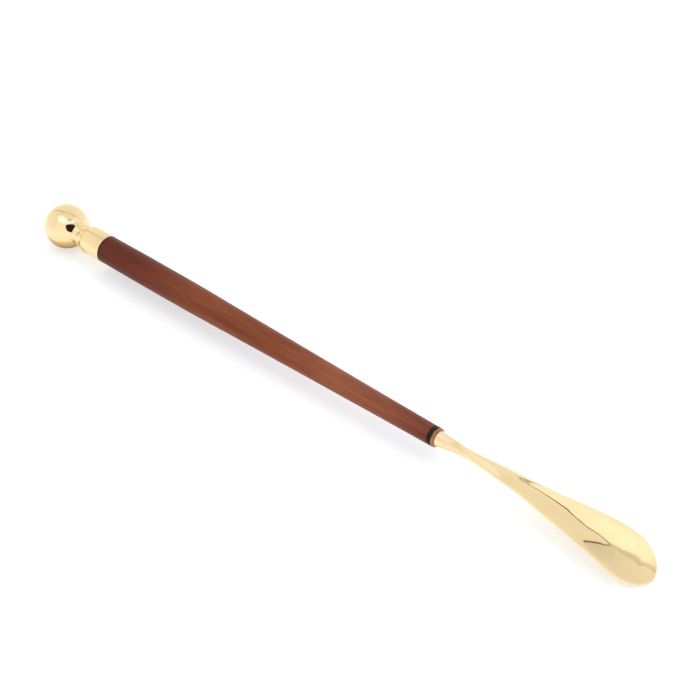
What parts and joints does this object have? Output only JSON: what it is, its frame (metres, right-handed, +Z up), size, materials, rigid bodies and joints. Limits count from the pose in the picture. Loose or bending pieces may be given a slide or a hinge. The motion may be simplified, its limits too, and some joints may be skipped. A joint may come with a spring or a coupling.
{
  "type": "long shoehorn",
  "caption": "Long-handled shoehorn with a ball knob, a tapered wooden shaft and a curved metal blade that unscrews from it.",
  "frame": {"origin": "middle of the bounding box, on the surface the shoehorn lies on", "axes": "+X along the shaft from the ball knob to the blade's tip, +Y across the blade, +Z up, the blade's rounded back facing up"},
  "size_m": [0.5805, 0.0406, 0.035],
  "materials": {
    "polished_brass": "polished mirror brass",
    "machined_brass": "machined, unpolished",
    "zinc_steel": "zinc-plated thread",
    "shaft_wood": "red-brown mahogany stain under clear lacquer",
    "black_ring": "polished black horn or resin",
    "copper_ring": null
  },
  "bodies": {
    "handle": {"handle_shaft": "shaft_wood", "ball_knob": "polished_brass", "neck_collar": "polished_brass", "knob_stud": "zinc_steel", "ferrule": "polished_brass", "upper_insert": "machined_brass", "lower_insert": "machined_brass"},
    "rings": {"black_ring": "black_ring", "copper_ring": "copper_ring"},
    "blade": {"blade": "polished_brass", "blade_stud": "zinc_steel"}
  },
  "joints": [
    {"name": "blade_unscrew", "type": "slide", "parent": "handle", "child": "rings", "axis": [1, 0, 0], "range_m": [0, 0.012]},
    {"name": "blade_turn", "type": "hinge", "parent": "rings", "child": "blade", "pos_m": [0.11105, 0, 0.0175], "axis": [1, 0, 0], "range_deg": [0, 4320]}
  ],
  "couplings": [
    {"joint": "blade_unscrew", "follows": "blade_turn", "m_per_rad": 0.00015915}
  ]
}
